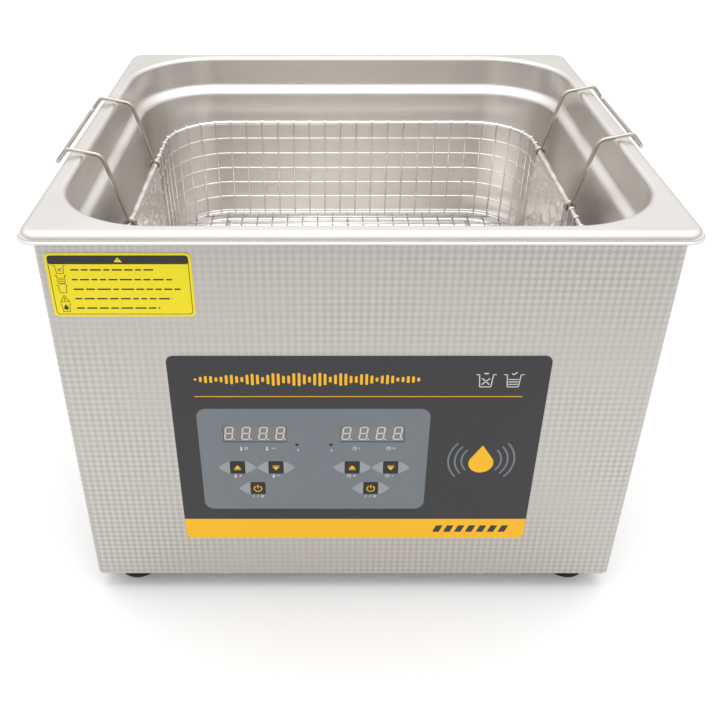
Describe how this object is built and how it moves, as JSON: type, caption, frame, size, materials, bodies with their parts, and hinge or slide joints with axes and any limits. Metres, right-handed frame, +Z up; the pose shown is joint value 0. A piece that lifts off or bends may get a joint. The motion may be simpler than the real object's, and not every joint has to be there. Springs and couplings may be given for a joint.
{
  "type": "ultrasonic cleaner",
  "caption": "Bench ultrasonic cleaner: rimmed stainless tank in a sheet casing, hung wire basket with hooked handles, front key panel, rear drain valve.",
  "frame": {"origin": "on the floor under the middle of the machine's bounding box, valve and handles included; the tank's middle is 24.5 mm in front of it", "axes": "+Z up, -Y out of the front panel, +X to the right as seen from the front; +Y is the longest side, towards the drain valve"},
  "size_m": [0.3672, 0.374, 0.2767],
  "materials": {
    "tank_steel": "deep-drawn stainless, satin",
    "casing_steel": "patterned stainless sheet",
    "sheet_steel": "brushed stainless sheet",
    "fixings": "zinc-plated",
    "rubber_black": "moulded",
    "gasket_silicone": "translucent silicone",
    "panel_film": "printed polyester film",
    "label_vinyl": "printed vinyl",
    "display_glass": "grey filter",
    "led_lens": "diffused",
    "circuit_board": "solder resist",
    "black_plastic": "moulded",
    "key_plastic": "printed",
    "basket_steel": "electropolished stainless wire",
    "handle_steel": "satin stainless wire",
    "aluminium": "turned or extruded",
    "piezo_ceramic": "silvered",
    "turned_steel": "turned",
    "heater_silicone": "glass-reinforced silicone",
    "ferrite": "wound core",
    "capacitor_sleeve": "sleeved can",
    "guard_chrome": "plated wire",
    "brass": "machined",
    "lever_red": "dipped",
    "wire_insulation": "extruded"
  },
  "bodies": {
    "machine": {"base_plate": "sheet_steel", "base_screws": "fixings", "board_standoffs": "fixings", "casing_shell": "casing_steel", "caution_label": "label_vinyl", "control_board": "circuit_board", "display_heat": "display_glass", "display_timer": "display_glass", "drain_fitting": "tank_steel", "drain_nut": "brass", "drain_pipe": "brass", "fan_frame": "black_plastic", "fan_guard": "guard_chrome", "fan_screws": "fixings", "filter_capacitors": "capacitor_sleeve", "foot_front_left": "rubber_black", "foot_front_right": "rubber_black", "foot_rear_left": "rubber_black", "foot_rear_right": "rubber_black", "foot_screws": "fixings", "front_overlay": "panel_film", "generator_board": "circuit_board", "generator_spacers": "fixings", "heater_left": "heater_silicone", "heater_right": "heater_silicone", "heatsink": "aluminium", "hose_barb": "brass", "indicator_leds": "led_lens", "inlet_pins": "brass", "mains_inlet": "black_plastic", "output_transformer": "ferrite", "piezo_rings": "piezo_ceramic", "rear_panel": "sheet_steel", "rear_panel_screws": "fixings", "rim_gasket": "gasket_silicone", "switch_body": "black_plastic", "tact_switches": "black_plastic", "tank_pan": "tank_steel", "temperature_sensor": "turned_steel", "transducer_back_masses": "turned_steel", "transducer_bolts": "turned_steel", "transducer_front_masses": "aluminium", "valve_body": "brass", "wiring_loom": "wire_insulation"},
    "basket": {"basket_rim": "basket_steel", "basket_mesh": "basket_steel", "basket_rods": "basket_steel", "side_plates": "basket_steel"},
    "handle_left": {"handle_left": "handle_steel"},
    "handle_right": {"handle_right": "handle_steel"},
    "power_rocker": {"power_rocker": "black_plastic"},
    "drain_valve": {"valve_ball": "guard_chrome", "valve_lever": "lever_red"},
    "fan_rotor": {"fan_rotor": "black_plastic"},
    "key_heat_up": {"key_heat_up": "key_plastic"},
    "key_heat_down": {"key_heat_down": "key_plastic"},
    "key_heat_power": {"key_heat_power": "key_plastic"},
    "key_timer_up": {"key_timer_up": "key_plastic"},
    "key_timer_down": {"key_timer_down": "key_plastic"},
    "key_timer_power": {"key_timer_power": "key_plastic"}
  },
  "joints": [
    {"name": "basket_lift", "type": "slide", "parent": "machine", "child": "basket", "axis": [0, 0, 1], "range_m": [0, 0.2]},
    {"name": "handle_left_swing", "type": "hinge", "parent": "basket", "child": "handle_left", "pos_m": [-0.142, -0.0335, 0.226], "axis": [0, 1, 0], "range_deg": [0, 110]},
    {"name": "handle_right_swing", "type": "hinge", "parent": "basket", "child": "handle_right", "pos_m": [0.142, -0.0085, 0.226], "axis": [0, -1, 0], "range_deg": [0, 110]},
    {"name": "key_heat_up_press", "type": "slide", "parent": "machine", "child": "key_heat_up", "axis": [0, 1, 0], "range_m": [0, 0.0005], "stiffness_N_per_m": 1500},
    {"name": "key_heat_down_press", "type": "slide", "parent": "machine", "child": "key_heat_down", "axis": [0, 1, 0], "range_m": [0, 0.0005], "stiffness_N_per_m": 1500},
    {"name": "key_heat_power_press", "type": "slide", "parent": "machine", "child": "key_heat_power", "axis": [0, 1, 0], "range_m": [0, 0.0005], "stiffness_N_per_m": 1500},
    {"name": "key_timer_up_press", "type": "slide", "parent": "machine", "child": "key_timer_up", "axis": [0, 1, 0], "range_m": [0, 0.0005], "stiffness_N_per_m": 1500},
    {"name": "key_timer_down_press", "type": "slide", "parent": "machine", "child": "key_timer_down", "axis": [0, 1, 0], "range_m": [0, 0.0005], "stiffness_N_per_m": 1500},
    {"name": "key_timer_power_press", "type": "slide", "parent": "machine", "child": "key_timer_power", "axis": [0, 1, 0], "range_m": [0, 0.0005], "stiffness_N_per_m": 1500},
    {"name": "power_rocker_tilt", "type": "hinge", "parent": "machine", "child": "power_rocker", "pos_m": [-0.072, 0.1285, 0.06], "axis": [-1, 0, 0], "range_deg": [0, 20]},
    {"name": "drain_valve_turn", "type": "hinge", "parent": "machine", "child": "drain_valve", "pos_m": [0.11, 0.148, 0.076], "axis": [0, 0, -1], "range_deg": [0, 90]},
    {"name": "fan_spin", "type": "hinge", "parent": "machine", "child": "fan_rotor", "pos_m": [0, 0.1225, 0.066], "axis": [0, 1, 0], "continuous": true}
  ]
}
